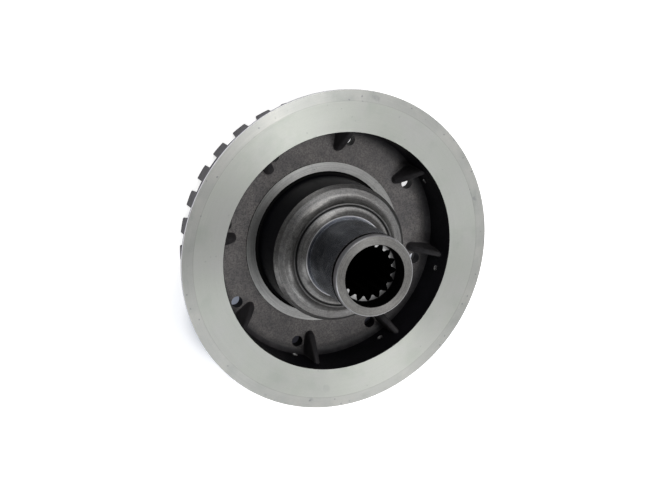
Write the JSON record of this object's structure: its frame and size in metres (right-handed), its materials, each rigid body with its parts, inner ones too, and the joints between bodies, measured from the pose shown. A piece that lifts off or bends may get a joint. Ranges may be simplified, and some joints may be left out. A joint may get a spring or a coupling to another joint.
{
  "type": "clutch hub",
  "caption": "Cast-iron clutch hub: flat flange over a lugged drum, ribbed web with drain holes, ground boss journal, coved neck and internally splined bore.",
  "frame": {"origin": "centre of the drum's rear end face, on the hub's axis, where the hub stands", "axes": "+Z along the hub's axis towards the neck; +X through the gap between two lugs nearly in line with a rib"},
  "size_m": [0.304, 0.304, 0.1395],
  "materials": {
    "hub_iron": "as cast on web, ribs and rim wall; ground on flange, journals and neck"
  },
  "bodies": {
    "root": {"clutch_hub": "hub_iron"}
  },
  "joints": []
}
